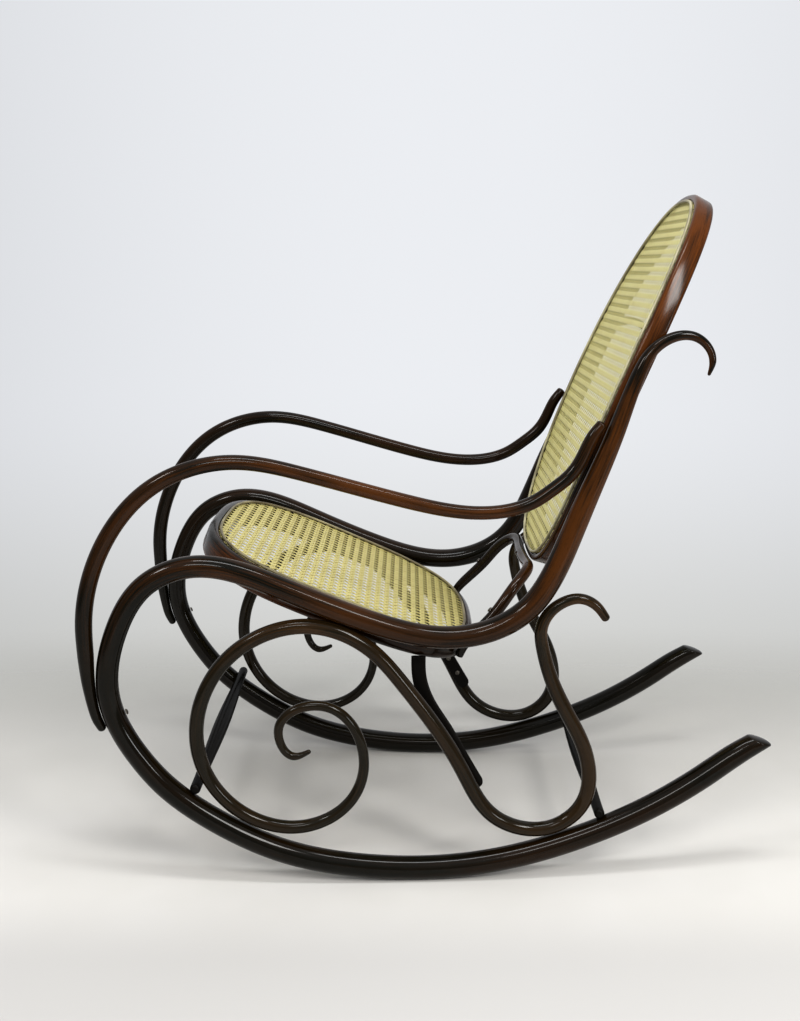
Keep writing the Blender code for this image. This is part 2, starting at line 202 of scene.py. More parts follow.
# %% [markdown]
# ## Stained, polished beech
# The rods are beech, steamed and bent, stained walnut-brown and polished. Up close the stain
# is not even: red-brown in patches, and almost black on the runners and the front loops. How
# warm the stain may get rises with height and towards the rear, and the left side, which
# faces the lights, is painted warmer: that part is painted light. Beech also shows short
# dark flecks that run with the rod.
# An image of wood would do, but it doesn't follow a bend. Every swept piece carries an
# attribute instead, "grain": metres along the rod, then across it. Noise stretched along its
# first axis becomes grain that follows every bend.
# The polish is a separate clear layer, so it is the Principled shader's coat, and the wood
# below has no shine of its own. Old polish is thin: its coat bends light less than new
# lacquer, which keeps the dark wood dark.


# %% Stained wood
# Each noise: lumps a metre along the rod and both ways across it, and how fine it goes.
PATCHES = ((4.0, 28.0, 28.0), 2.0)
STREAKS = ((16.0, 420.0, 420.0), 3.0)
FLECKS = ((230.0, 1500.0, 1500.0), 2.0)
HANDLING = ((45.0, 110.0, 110.0), 3.0)
POLISH_IOR = 1.36
WARM_HEIGHT = (0.34, 0.50, 0.16, 1.0)
# Painted light: the left side, nearest the lights, gets warmer stain.
PAINTED_LIGHT_SIDE = (-0.12, 0.14, 0.30, 1.0)
WARM_DEPTH = (-0.52, -0.25, 0.40, 1.0)
FLECK_DEPTH = 0.55
GRAIN_RELIEF = 0.00006


def warm_mask_with_painted_light(start):
    """How warm the stain may be: rises with height and to the rear; the rise to the left side
    is painted light.
    """
    place = start.place()
    # Painted light: the rise along X makes the left side warmer. Height and depth also set how
    # warm the stain may get.
    warm_share = place.axis("Z").rise(*WARM_HEIGHT) * place.axis("X").rise(*PAINTED_LIGHT_SIDE)
    return warm_share * place.axis("Y").rise(*WARM_DEPTH)


def stained_wood(name, dark, warm, polish, coat_roughness):
    """Dark stain with red-brown patches, fine flecks and a clear coat.

    Warmth is 0.6 patches + 0.4 streaks, times the place mask, which holds painted light on
    the left side; each fleck is half as bright as the darkest stain and dulls the polish by
    half.
    """
    material, shader, start = finish_material(name, {
        "IOR": 1.5, "Specular IOR Level": 0.0,
        "Coat IOR": POLISH_IOR, "Coat Roughness": coat_roughness,
    })
    grain = start.grain()
    patches = grain.noise(*PATCHES)
    streaks = grain.noise(*STREAKS)
    flecks = grain.noise(*FLECKS).rise(0.60, 0.72)
    handling = grain.noise(*HANDLING)
    warmth = (patches * 0.6 + streaks * 0.4).rise(0.42, 0.60) * warm_mask_with_painted_light(start)
    fleck_colour = [part * 0.5 for part in dark]
    feed(material.node_tree, shader, {
        "Base Color": (flecks * FLECK_DEPTH).blend(warmth.blend(dark, warm), fleck_colour),
        "Roughness": handling.rise(0.3, 0.7, 0.30, 0.46),
        "Coat Weight": (1.0 - flecks * 0.5) * handling.rise(0.25, 0.75, polish, polish * 0.8),
        "Normal": (streaks * 0.7 + flecks * -0.3).bump(GRAIN_RELIEF),
    })
    return material


# Each finish: its darkest stain, its warmest stain, how much polish, how rough the polish is.
WOODS = {
    "polished_rod": ((0.0040, 0.0034, 0.0012), (0.078, 0.0260, 0.0040), 1.0, 0.10),
    "polished_scroll": ((0.0105, 0.0080, 0.0032), (0.120, 0.0520, 0.0130), 1.0, 0.10),
    "polished_hoop": ((0.0050, 0.0034, 0.0012), (0.110, 0.0320, 0.0030), 1.0, 0.16),
    "turned_bar": ((0.0050, 0.0044, 0.0036), (0.020, 0.0130, 0.0080), 0.3, 0.25),
}
rod_finish, scroll_finish, hoop_finish, turned_finish = (
    stained_wood(name, *finish) for name, finish in WOODS.items()
)
print("woods:", *WOODS)

# %% [markdown]
# ## Cane, its edge bead, and steel
# Cane is the skin of rattan: straw-yellow, glossy on its outer face, with fine lines along
# it and every strand a slightly different yellow. On a ribbon the second and third number of
# "grain" are the place across a strand and the strand's own number, so one noise colours
# whole strands and a finer one draws the lines. On the seat, painted shade darkens every
# strand towards its edges, so the openings between them look shaded. The bead over the
# panel's edge is the same cane, greyed with handling. The screws are blackened steel, rubbed
# bright in spots.


# %% Cane, bead and steel
STRAND_SHADES = ((1.5, 0.0, 3.7), 1.0)
STRAND_LINES = ((30.0, 2600.0, 3.7), 2.0)
STRAND_KNOTS = ((9.0, 60.0, 5.3), 1.0)
FLANK_PAINTED_SHADE = (0.00122, 0.00165)
BEAD_SMEARS = ((22.0, 160.0, 160.0), 3.0)
BEAD_LINES = ((30.0, 1800.0, 1800.0), 2.0)
RUBBED_SPOTS = ((900.0, 900.0, 900.0), 3.0)
STEEL_PITS = ((2600.0, 2600.0, 2600.0), 2.0)
CANE_RELIEF = 0.00008
BEAD_RELIEF = 0.0001
STEEL_RELIEF = 0.00005


def woven_cane(name, pale, deep, edge):
    """Straw-coloured strands, each its own shade, with lines along them and flanks darkened by
    painted shade.
    """
    material, shader, start = finish_material(name, {"IOR": 1.45, "Coat Roughness": 0.3})
    grain = start.grain()
    strands = grain.noise(*STRAND_SHADES)
    lines = grain.noise(*STRAND_LINES)
    knots = grain.noise(*STRAND_KNOTS).rise(0.66, 0.74)
    depth = (strands * 0.7 + lines * 0.3).rise(0.34, 0.66)
    shade = (deep[0] * 0.5, deep[1] * 0.42, deep[2] * 0.3)
    from_middle = grain.math("ABSOLUTE", grain.axis("Y"))
    # Painted shade: strands darken towards their edges, where shade falls between them. edge
    # sets how much.
    flank_painted_shade = from_middle.rise(*FLANK_PAINTED_SHADE)
    skin_colour = (knots * 0.35).blend(depth.blend(pale, deep), shade)
    feed(material.node_tree, shader, {
        "Base Color": (flank_painted_shade * edge).blend(skin_colour, shade),
        "Roughness": lines.rise(0.3, 0.7, 0.38, 0.55),
        "Coat Weight": 0.35 - lines * 0.25,
        "Normal": lines.bump(CANE_RELIEF),
    })
    return material


def edge_bead(name, dull, pale):
    """Greyed cane bead: dull, with darker smears of stain."""
    material, shader, start = finish_material(name, {"IOR": 1.45})
    grain = start.grain()
    smears = grain.noise(*BEAD_SMEARS)
    lines = grain.noise(*BEAD_LINES)
    feed(material.node_tree, shader, {
        "Base Color": smears.rise(0.35, 0.65).blend(dull, pale),
        "Roughness": smears.rise(0.3, 0.7, 0.35, 0.55),
        "Normal": lines.bump(BEAD_RELIEF),
    })
    return material


def blackened_steel(name):
    """Old screw heads: dark oxide with bright rubbed spots."""
    material, shader, start = finish_material(name, {})
    place = start.place()
    rubbed = place.noise(*RUBBED_SPOTS).rise(0.45, 0.65)
    feed(material.node_tree, shader, {
        "Base Color": rubbed.blend((0.05, 0.045, 0.04), (0.32, 0.29, 0.25)),
        "Metallic": rubbed.rise(0.0, 1.0, 0.7, 1.0),
        "Roughness": rubbed.rise(0.0, 1.0, 0.55, 0.3),
        "Normal": place.noise(*STEEL_PITS).bump(STEEL_RELIEF),
    })
    return material


CANE_FINISHES = {
    # The last number is how strongly painted shade darkens the strands' flanks.
    "seat": woven_cane("seat_weave", (0.62, 0.56, 0.230), (0.48, 0.41, 0.140), 0.5),
    "back": woven_cane("back_weave", (0.76, 0.71, 0.330), (0.66, 0.59, 0.230), 0.0),
}
BEAD_FINISHES = {
    "seat": edge_bead("seat_edge_bead", (0.13, 0.105, 0.06), (0.33, 0.29, 0.17)),
    "back": edge_bead("back_edge_bead", (0.26, 0.23, 0.15), (0.58, 0.54, 0.36)),
}
steel_finish = blackened_steel("blackened_steel")
print("cane and bead for:", *CANE_FINISHES, "and", steel_finish.name)

# %% [markdown]
# ## From arrays to a mesh
# A Blender curve with a bevel could make the rods, but it can't shape their ends or say where
# the grain runs. So every new piece is a grid of points: rings of points along a path.
# Neighbouring points make four-sided faces, and index arithmetic finds all of them at once.
# A closed piece joins its last ring to its first; an open one gets a pole at each end. The
# signed volume tells whether the faces point outwards, and they are turned round if they
# don't.


# %% Mesh from rings
def mesh_piece(name, points, faces, grain_rows):
    """A smooth mesh from points and lists of equal-sided faces, with grain at each corner."""
    mesh = bpy.data.meshes.new(name)
    mesh.vertices.add(len(points))
    mesh.vertices.foreach_set("co", np.ascontiguousarray(points, dtype=np.float32).ravel())
    corners = np.concatenate([part.ravel() for part in faces])
    sides = np.concatenate([np.full(len(part), part.shape[1]) for part in faces])
    mesh.loops.add(len(corners))
    mesh.loops.foreach_set("vertex_index", corners.astype(np.int32))
    mesh.polygons.add(len(sides))
    starts = np.r_[0, np.cumsum(sides)[:-1]]
    mesh.polygons.foreach_set("loop_start", starts.astype(np.int32))
    grain = mesh.attributes.new("grain", "FLOAT_VECTOR", "CORNER")
    grain.data.foreach_set("vector", np.ascontiguousarray(grain_rows, dtype=np.float32).ravel())
    mesh.update(calc_edges=True)
    mesh.shade_smooth()
    return mesh


def volume_of(points, quads):
    """Signed volume: each face's corner product with the origin, summed."""
    first, second, third, fourth = (points[quads[:, column]] for column in range(4))
    across = np.cross(third - first, fourth - second)
    return float((first * across).sum() / 6.0)


def skin(name, rings, grain, closed=False):
    """Faces over rings of points, shaped (rings, points in a ring, 3).

    Ring r and point p make the face (r, p), (r, p+1), (r+1, p+1), (r+1, p). grain has one
    more ring than a closed piece has, so that its length doesn't jump back at the seam.
    """
    count, around = rings.shape[:2]
    bands = count if closed else count - 1
    row = np.arange(bands)[:, None] * around
    here = np.arange(around)[None, :]
    after = (here + 1) % around
    quads = np.stack((row + here, row + after, row + around + after, row + around + here), -1)
    quads = quads.reshape(-1, 4)
    points = rings.reshape(-1, 3)
    table = grain.reshape(-1, 3)
    parts = [quads]
    if not closed:
        first, last = len(points), len(points) + 1
        tail = (count - 1) * around
        points = np.vstack((points, rings[0].mean(0), rings[-1].mean(0)))
        table = np.vstack((table, grain[0].mean(0), grain[-1].mean(0)))
        here, after = here[0], after[0]
        parts.append(np.column_stack((after, here, np.full(around, first))))
        parts.append(np.column_stack((here + tail, after + tail, np.full(around, last))))
    if volume_of(points, quads % len(points)) < 0.0:
        parts = [part[:, ::-1] for part in parts]
    corners = np.concatenate([part.ravel() for part in parts])
    wrapped = [part % len(points) if closed else part for part in parts]
    return mesh_piece(name, points, wrapped, table[corners])


def add_piece(name, mesh, material, node):
    """Put a finished mesh into the scene on the chair's one body, in place of a CAD node."""
    piece = bpy.data.objects.new(name, mesh)
    bpy.context.scene.collection.objects.link(piece)
    mesh.materials.append(material)
    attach(piece, "root")
    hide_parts(node)


print("mesh helpers ready")

# %% [markdown]
# ## Bending a rod
# A steamed rod is pulled round a form and keeps one smooth curve with no corners. A natural
# cubic through a few marks does the same: it is the curve a springy strip takes. The chair's
# marks are (Y, Z, diameter) in millimetres, and each side's rods lie in an upright plane.
# Points are then thinned: more where the rod turns, fewer where it runs straight.


# %% Smooth line
LINE_SAMPLES = 2400
FINE_TURN = math.radians(2.6)
FINE_STEP = 0.016


def second_derivatives(chord, values):
    """Bending of the natural cubic through the values, zero at both ends.

    At each inner mark: step before * bending before + 2 * (both steps) * bending here
    + step after * bending after = 6 * change of slope.
    """
    step = np.diff(chord)
    slope = np.diff(values, axis=0) / step[:, None]
    here = np.r_[1.0, 2.0 * (step[:-1] + step[1:]), 1.0]
    before = np.r_[step[:-1], 0.0]
    after = np.r_[0.0, step[1:]]
    system = np.diag(here) + np.diag(before, -1) + np.diag(after, 1)
    load = np.zeros_like(values)
    load[1:-1] = 6.0 * np.diff(slope, axis=0)
    return np.linalg.solve(system, load)


def smooth_line(marks):
    """Natural cubic through rows of (X, Y, Z, diameter), measured by chord length.

    With a running from 0 to 1 between two marks and b = 1 - a, a point is b * first +
    a * second + ((b^3 - b) * first bending + (a^3 - a) * second bending) * step^2 / 6.
    """
    marks = np.array(marks, dtype=float)
    places = marks[:, :3]
    chord = np.r_[0.0, np.cumsum(np.linalg.norm(np.diff(places, axis=0), axis=1))]
    bend = second_derivatives(chord, places)
    at = np.linspace(0.0, chord[-1], LINE_SAMPLES)
    piece = np.clip(np.searchsorted(chord, at) - 1, 0, len(chord) - 2)
    step = (chord[piece + 1] - chord[piece])[:, None]
    ahead = (at[:, None] - chord[piece][:, None]) / step
    back = 1.0 - ahead
    line = back * places[piece] + ahead * places[piece + 1]
    line += (back ** 3 - back) * bend[piece] * step ** 2 / 6.0
    line += (ahead ** 3 - ahead) * bend[piece + 1] * step ** 2 / 6.0
    return np.column_stack((line, np.interp(at, chord, marks[:, 3])))


def thin_out(line):
    """Rows spaced evenly by turn / FINE_TURN + length / FINE_STEP."""
    legs = np.diff(line[:, :3], axis=0)
    length = np.linalg.norm(legs, axis=1)
    heading = legs / length[:, None]
    turn = np.linalg.norm(np.diff(heading, axis=0), axis=1)
    turn = np.r_[turn[0], turn]
    measure = np.r_[0.0, np.cumsum(turn / FINE_TURN + length / FINE_STEP)]
    marks = np.linspace(0.0, measure[-1], int(math.ceil(measure[-1])) + 1)
    return np.column_stack([np.interp(marks, measure, column) for column in line.T])


def unit(rows):
    """Each row scaled to length one."""
    return rows / np.linalg.norm(rows, axis=1)[:, None]


print("a line has a point at least every", FINE_STEP / MM, "mm")

# %% [markdown]
# ## Carrying a section along the line
# The rod's surface is: middle line + radius times (cosine of the angle times one sideways
# direction, plus sine times the other). The second direction starts from one fixed
# direction, `across`, so the section never twists. At each end a few more rings shrink as a
# quarter circle and step forward, which rounds the end over as sandpaper does. Where a saw
# has cut an end on a slant, the last rings lean: their points slide along the line.

# %% Sweep
ROD_POINTS = 28
NOSE_RINGS = 6
LAST_RING = math.radians(86)


def rounded_ends(line, noses):
    """Add rings past each end: forward by nose times radius times sine, radius by cosine."""
    angle = np.linspace(0.0, math.pi / 2.0, NOSE_RINGS + 1)[1:]
    angle[-1] = LAST_RING  # a full quarter circle would shrink the last ring to nothing
    rows = line
    for nose, end, step in ((noses[0], 0, -1), (noses[1], -1, 1)):
        tip = rows[end]
        inner = rows[end - step]
        heading = (tip[:3] - inner[:3]) / np.linalg.norm(tip[:3] - inner[:3])
        radius = tip[3] / 2.0
        ahead = np.sin(angle)[:, None] * heading * radius * nose
        cap = np.column_stack((tip[:3] + ahead, tip[3] * np.cos(angle)))
        rows = np.vstack((cap[::-1], rows)) if end == 0 else np.vstack((rows, cap))
    return rows


def sweep(line, across, flatten=None, square=2.0, lean=None):
    """Rings of points round a line of (X, Y, Z, diameter).

    A point is the line's place + radius * (cos * sideways + sin * out), where out is
    across made square to the line and sideways is square to both. flatten scales the
    sideways and out parts, square above 2 makes the section a rounded rectangle, and lean
    slides a ring's points along the line by lean times their sideways place.
    """
    heading = unit(np.gradient(line[:, :3], axis=0))
    out = unit(across - (heading @ across)[:, None] * heading)
    sideways = np.cross(heading, out)
    angle = np.linspace(0.0, 2.0 * math.pi, ROD_POINTS, endpoint=False)
    wide, thick = flatten or (1.0, 1.0)
    cosine = np.sign(np.cos(angle)) * np.abs(np.cos(angle)) ** (2.0 / square) * wide
    sine = np.sign(np.sin(angle)) * np.abs(np.sin(angle)) ** (2.0 / square) * thick
    radius = line[:, 3:4, None] / 2.0
    rings = line[:, None, :3] + radius * (
        cosine[None, :, None] * sideways[:, None, :] + sine[None, :, None] * out[:, None, :]
    )
    if lean is not None:
        slide = lean[:, None] * radius[:, :, 0] * cosine[None, :]
        rings = rings + slide[:, :, None] * heading[:, None, :]
    along = np.r_[0.0, np.cumsum(np.linalg.norm(np.diff(line[:, :3], axis=0), axis=1))]
    grain = np.stack((
        np.broadcast_to(along[:, None], rings.shape[:2]),
        radius[:, :, 0] * cosine[None, :],
        radius[:, :, 0] * sine[None, :],
    ), -1)
    return rings, grain


print("a rod ring has", ROD_POINTS, "points")

# %% [markdown]
# ## The side frames
# One long rod makes the runner, the front loop, the seat rail and the rear post, and ends
# in a thin curl. A second bows forward as the arm, and a third winds the scrolls
# underneath. The two sides close in slightly towards the rear. The marks are the CAD
# model's own, so each rod lies exactly round the solid that it stands for. A nose longer
# than 1 draws an end out, a short one leaves it blunt, and only the runners' ends are cut
# on a slant.

# %% Side rods, arms and scrolls
SIDE_X = 0.2384
TOE_IN = 0.05

# Rows of (Y, Z, diameter) in millimetres, from each rod's rear or upper end.
SIDE_ROD = (
    (398, 782, 5), (402, 799, 10), (378, 833, 13), (315, 815, 17), (299, 788, 20),
    (268, 702, 26), (220, 581, 33), (194, 515, 35), (145, 434, 35), (44, 392, 34),
    (-89, 417, 34), (-221, 471, 34), (-351, 504, 33), (-417, 477, 33), (-461, 411, 33),
    (-478, 305, 33), (-436, 207, 34), (-404, 166, 35), (-323, 101, 36), (-230, 52.5, 36),
    (-107, 23.4, 36), (-19, 17.4, 36), (61, 21.4, 36), (119, 30.4, 36), (238, 65, 36),
    (347, 114, 36), (431, 167, 36), (468, 194, 35), (507, 219, 32),
)
ARM_ROD = (
    (245.5, 709, 16), (233, 692, 18), (221, 666, 19), (206, 640, 20), (179, 616, 20),
    (151, 597, 20), (65, 581, 20), (-32, 598, 21), (-191, 642, 21), (-284, 658, 22),
    (-399, 624, 24), (-473, 541, 25), (-509, 413, 25), (-508.5, 369, 24),
    (-507.5, 337, 20.5), (-505, 311, 18), (-501.8, 290, 16.2), (-496.5, 270, 15.5),
    (-491, 258, 13.5),
)
SCROLL_ROD = (
    (262, 419, 13), (247, 438, 15), (222, 449, 16), (197, 443, 17), (177, 427, 18),
    (166, 402, 19), (168, 376, 20), (202, 281, 23), (236, 212, 23), (236, 118, 23),
    (191, 82, 22), (98, 103, 23),
    (52, 175, 23), (30, 216, 23), (-40, 318, 23), (-87, 372, 23), (-175, 411, 23),
    (-302, 362, 22), (-349, 215, 22), (-298, 125, 21), (-200, 90, 20), (-133, 118, 18),
    (-100, 187, 16), (-162, 286, 15), (-228, 250, 14), (-206, 206, 12), (-183, 213, 7),
)
SLANT_LENGTH = 0.045

# Each rod: its marks, the noses of its two ends, its last end's slant and its finish.
SIDE_RODS = {
    "side_rod": (SIDE_ROD, (1.2, 0.3), 0.8, rod_finish),
    "arm": (ARM_ROD, (0.5, 0.9), 0.0, rod_finish),
    "scroll": (SCROLL_ROD, (0.8, 0.9), 0.0, scroll_finish),
}


def side_plane_x(y):
    """Distance of a side plane from the middle of the chair at depth y."""
    return SIDE_X - TOE_IN * y


def in_side_plane(bends, side):
    """Lay (Y, Z, diameter) bends into one side plane, in metres."""
    rows = np.array(bends, dtype=float) * MM
    return np.column_stack((side * side_plane_x(rows[:, 0]), rows))


def bent_rod(name, marks, across, noses, slant, material):
    """One bent rod along its marks.

    The lean rises from 0 at SLANT_LENGTH before the last end to slant at that end.
    """
    line = rounded_ends(thin_out(smooth_line(marks)), noses)
    legs = np.linalg.norm(np.diff(line[:, :3], axis=0), axis=1)
    left = np.r_[np.cumsum(legs[::-1])[::-1], 0.0]
    lean = slant * np.clip(1.0 - left / SLANT_LENGTH, 0.0, 1.0)
    rings, grain = sweep(line, np.array(across), lean=lean)
    mesh = skin(f"{name}_wood", rings, grain)
    add_piece(f"{name}_wood", mesh, material, name)
    print(mesh.name, len(mesh.polygons), "faces")


for label, side in SIDES:
    plane = unit(np.array([[side, TOE_IN, 0.0]]))[0]
    for name, (bends, noses, slant, finish) in SIDE_RODS.items():
        marks = in_side_plane(bends, side)
        bent_rod(f"{name}_{label}", marks, plane, noses, side * slant, finish)

# %% [markdown]
# ## The back brace
# One rod carries the back: it runs level under the back hoop's lower edge, and both its
# ends bend down to the rear corners of the seat hoop. It is the same kind of rod, but it
# lies across the chair, so its marks have an X too. Half is listed and mirrored.

# %% Back brace
BRACE_ACROSS = (0.0, 0.8, -0.6)
BRACE_NOSES = (0.3, 0.3)
BRACE_HALF = (
    (0, 156, 462, 17), (60, 158, 462, 17), (112, 154, 461, 18), (140, 132, 441, 18),
    (153, 103, 404, 18), (157, 72, 372, 17), (156, 54, 351, 15), (155, 47, 335, 13),
)
half = np.array(BRACE_HALF, dtype=float) * MM
mirrored = half[:0:-1] * (-1.0, 1.0, 1.0, 1.0)
brace_marks = np.vstack((mirrored, half))
bent_rod("back_brace", brace_marks, BRACE_ACROSS, BRACE_NOSES, 0.0, rod_finish)

# %% [markdown]
# ## The caned rings
# The seat and the back are flat bent hoops. Their outline is two half superellipses: a
# circle's formula with a higher power, so the corners fill out. The ring's section has a
# rounded outer edge, a rim, and a sunk ledge that the cane lies on. Every corner of the
# section gets its own small radius, because a polished edge is never sharp.

# %% Ring shapes
# A rim is half its width, its reach ahead and behind, and the power of each half.
SEAT_SLOPE = math.atan(0.42)
SEAT_CENTRE = np.array((0.0, -0.1387, 0.4423))
SEAT_RIM = (0.2278, 0.2335, 0.2315, 3.0, 3.0)
BACK_START_Y = 0.1800
BACK_START_Z = 0.462
BACK_LEAN = 0.3067
BACK_LEAN_GROWTH = 0.1978
BACK_WAIST_Z = 0.720
BACK_HEIGHTS = (0.405, 1.095, 400)
BACK_RIM = (0.2105, 0.350, 0.278, 2.4, 2.7)
BACK_DEPTH = 0.030
HOOP_WIDTH = 0.032
LEDGE_DROP = 0.003
RIM_EDGE = 0.0012
LEDGE_CORNER = 0.0006
LOWER_EDGE = 0.003
SEAT_SECTION = {"depth": 0.040, "rim": 0.014, "edge": 0.009}
BACK_SECTION = {"depth": BACK_DEPTH, "rim": 0.010, "edge": 0.005}
HOOP_RINGS = 300
FINE_POINTS = 20001
CORNER_POINTS = 5


def outline(rim, angle):
    """At each angle, the radius (|cos / width|^power + |sin / reach|^power)^(-1 / power)."""
    half_width, ahead, behind, square_ahead, square_behind = rim
    across = np.cos(angle)
    along = np.sin(angle)
    reach = np.where(along >= 0.0, ahead, behind)
    power = np.where(along >= 0.0, square_ahead, square_behind)
    total = np.abs(across / half_width) ** power + np.abs(along / reach) ** power
    radius = total ** (-1.0 / power)
    return np.column_stack((radius * across, radius * along))


def even_outline(rim, count):
    """The outline's points spaced evenly by length, and the inward direction at each."""
    fine = outline(rim, np.linspace(0.0, 2.0 * math.pi, FINE_POINTS))
    along = np.r_[0.0, np.cumsum(np.linalg.norm(np.diff(fine, axis=0), axis=1))]
    at = np.linspace(0.0, along[-1], count, endpoint=False)
    points = np.column_stack([np.interp(at, along, column) for column in fine.T])
    heading = unit(np.roll(points, -1, axis=0) - np.roll(points, 1, axis=0))
    inward = np.column_stack((-heading[:, 1], heading[:, 0]))
    return points, inward, np.r_[at, along[-1]]


def rounded_section(corners):
    """Quarter circles in place of square corners, from rows of (x, y, radius).

    A point is corner + radius * ((1 - sine) * way back + (1 - cosine) * way ahead).
    """
    places = np.array(corners, dtype=float)
    back = unit(np.roll(places[:, :2], 1, axis=0) - places[:, :2])
    ahead = unit(np.roll(places[:, :2], -1, axis=0) - places[:, :2])
    turn = np.linspace(0.0, math.pi / 2.0, CORNER_POINTS)[None, :, None]
    radius = places[:, None, 2:]
    arcs = places[:, None, :2] + radius * (
        back[:, None] * (1.0 - np.sin(turn)) + ahead[:, None] * (1.0 - np.cos(turn))
    )
    return arcs.reshape(-1, 2)


def hoop_section(depth, rim, edge):
    """Rounded section: x runs inwards from the outer edge, y up to the rim's top."""
    return rounded_section((
        (0.0, 0.0, edge), (rim, 0.0, RIM_EDGE), (rim, -LEDGE_DROP, LEDGE_CORNER),
        (HOOP_WIDTH, -LEDGE_DROP, RIM_EDGE), (HOOP_WIDTH, -depth, LOWER_EDGE),
        (0.0, -depth, edge),
    ))


def ring_of(rim, section):
    """The section carried round the outline: outline point + x * inward, y upwards."""
    points, inward, along = even_outline(rim, HOOP_RINGS)
    flat = points[:, None, :] + section[None, :, :1] * inward[:, None, :]
    up = np.broadcast_to(section[None, :, 1:], (*flat.shape[:2], 1))
    rings = np.concatenate((flat, up), -1)
    count = (len(along), len(section))
    across = section - section.mean(0)
    grain = np.stack((
        np.broadcast_to(along[:, None], count),
        np.broadcast_to(across[None, :, 0], count),
        np.broadcast_to(across[None, :, 1], count),
    ), -1)
    return rings, grain


def lay_seat(points):
    """Narrow flat points towards the rear, tilt them by the slope, move them in place.

    Width shrinks by TOE_IN * depth. With c and s the slope's cosine and sine, depth is
    y * c + z * s and height is z * c - y * s.
    """
    x, y, z = np.moveaxis(points, -1, 0)
    x = x * (1.0 - TOE_IN * y * math.cos(SEAT_SLOPE) / SEAT_RIM[0])
    down = math.cos(SEAT_SLOPE)
    fall = math.sin(SEAT_SLOPE)
    return np.stack((x, y * down + z * fall, z * down - y * fall), -1) + SEAT_CENTRE


def back_line():
    """Height, depth, slope and distance travelled up the middle of the back.

    With run the height over the brace, depth = start + lean * run + growth * run^2.
    """
    height = np.linspace(*BACK_HEIGHTS)
    run = height - BACK_START_Z
    depth = BACK_START_Y + BACK_LEAN * run + BACK_LEAN_GROWTH * run ** 2
    slope = BACK_LEAN + 2.0 * BACK_LEAN_GROWTH * run
    travelled = np.cumsum(np.sqrt(1.0 + slope ** 2)) * (height[1] - height[0])
    travelled -= np.interp(BACK_WAIST_Z, height, travelled)
    return height, depth, slope, travelled


def wrap_back(points):
    """Flat y becomes distance up the leaning back, and z distance in front of it.

    A point is the middle line's point there + z * (minus cosine, sine) of the lean.
    """
    height, depth, slope, travelled = back_line()
    x, up, out = np.moveaxis(points, -1, 0)
    out = out + BACK_DEPTH / 2.0
    lean = np.arctan(np.interp(up, travelled, slope))
    y = np.interp(up, travelled, depth) - out * np.cos(lean)
    z = np.interp(up, travelled, height) + out * np.sin(lean)
    return np.stack((x, y, z), -1)


print("a hoop has", HOOP_RINGS, "rings")

# %% [markdown]
# ## Seat hoop and back hoop
# On the real chair each hoop is one strip, steamed, bent shut and glued. Both are the same
# ring with other sizes, made flat and then laid in place: the seat is tilted, and the back
# is wrapped onto a line that leans more the higher it goes. Laying them down last keeps the
# section and the grain the same all the way round.

# %% Seat hoop and back hoop
# Each panel: its rim, its section, how it is laid in place and how far its pairs are apart.
PANELS = (
    ("seat", SEAT_RIM, SEAT_SECTION, lay_seat, 0.0156),
    ("back", BACK_RIM, BACK_SECTION, wrap_back, 0.0148),
)
for name, rim, sizes, place, pitch in PANELS:
    rings, grain = ring_of(rim, hoop_section(**sizes))
    mesh = skin(f"{name}_hoop_wood", place(rings), grain, closed=True)
    add_piece(f"{name}_hoop_wood", mesh, hoop_finish, f"{name}_hoop")
    print(name, "hoop", len(mesh.polygons), "faces")

# %% [markdown]
# ## The bead
# A strip of cane covers the holes round the panel. It could be a curve with a round bevel,
# but the ring's own outline is at hand, so a small circle is carried round it, just inside
# the rim and on top of the panel's edge.

# %% Edge beads
CANE_THICKNESS = 0.0016
CANE_INSET = 0.0015
GAP = 0.0005
BEAD_RADIUS = 0.0022
BEAD_POINTS = 12

turn = np.linspace(0.0, 2.0 * math.pi, BEAD_POINTS, endpoint=False)
for name, rim, sizes, place, pitch in PANELS:
    lift = BEAD_RADIUS + GAP - (LEDGE_DROP - GAP - CANE_THICKNESS)
    middle = sizes["rim"] + CANE_INSET + BEAD_RADIUS
    section = np.column_stack((
        middle - BEAD_RADIUS * np.cos(turn), lift + BEAD_RADIUS * np.sin(turn),
    ))
    rings, grain = ring_of(rim, section)
    mesh = skin(f"{name}_bead", place(rings), grain, closed=True)
    add_piece(f"{name}_bead", mesh, BEAD_FINISHES[name], f"{name}_spline")
    print(name, "bead", len(mesh.polygons), "faces")

# %% [markdown]
# ## Weaving the cane
# The classic open pattern has pairs of strands lengthwise and crosswise, one pair for each
# hole in the frame, and two single diagonals. The diagonals pass midway between the
# pairs' crossings, so they cut the corners off each square opening and leave an octagon.
# A picture of cane on a flat sheet has no depth and no true openings, so each strand is
# made: a flat ribbon that rises over one neighbour and dips under the next, a sine wave in
# step with the pattern. All strands of one direction form one piece.

# %% Strands
PAIR_OFFSET = 0.0019
STRAND_WIDTH = 0.0034
DIAGONAL_WIDTH = 0.0036
STRAND_THICKNESS = 0.00042
WEAVE = 0.00035
DIAGONAL_WEAVE = 0.00058
CANE_MIDDLE = GAP + CANE_THICKNESS / 2.0 - LEDGE_DROP
RIBBON_SECTION = np.array(((-0.5, -0.5), (-0.36, 0.5), (0.36, 0.5), (0.5, -0.5)))
END_SHARE = 0.3


def edge_hits(border, direction, offset):
    """Where a straight line meets the border: its two places along the direction.

    A border point's distance from the line is point . normal - offset. Where it changes
    sign, the crossing is at the share first / (first - second) of that leg.
    """
    normal = np.array((-direction[1], direction[0]))
    side = border @ normal - offset
    after = np.roll(side, -1)
    crossing = side * after < 0.0
    share = (side / (side - after))[crossing][:, None]
    hits = border[crossing] + share * (np.roll(border, -1, axis=0)[crossing] - border[crossing])
    return np.sort(hits @ direction)[[0, -1]] if len(hits) > 1 else None


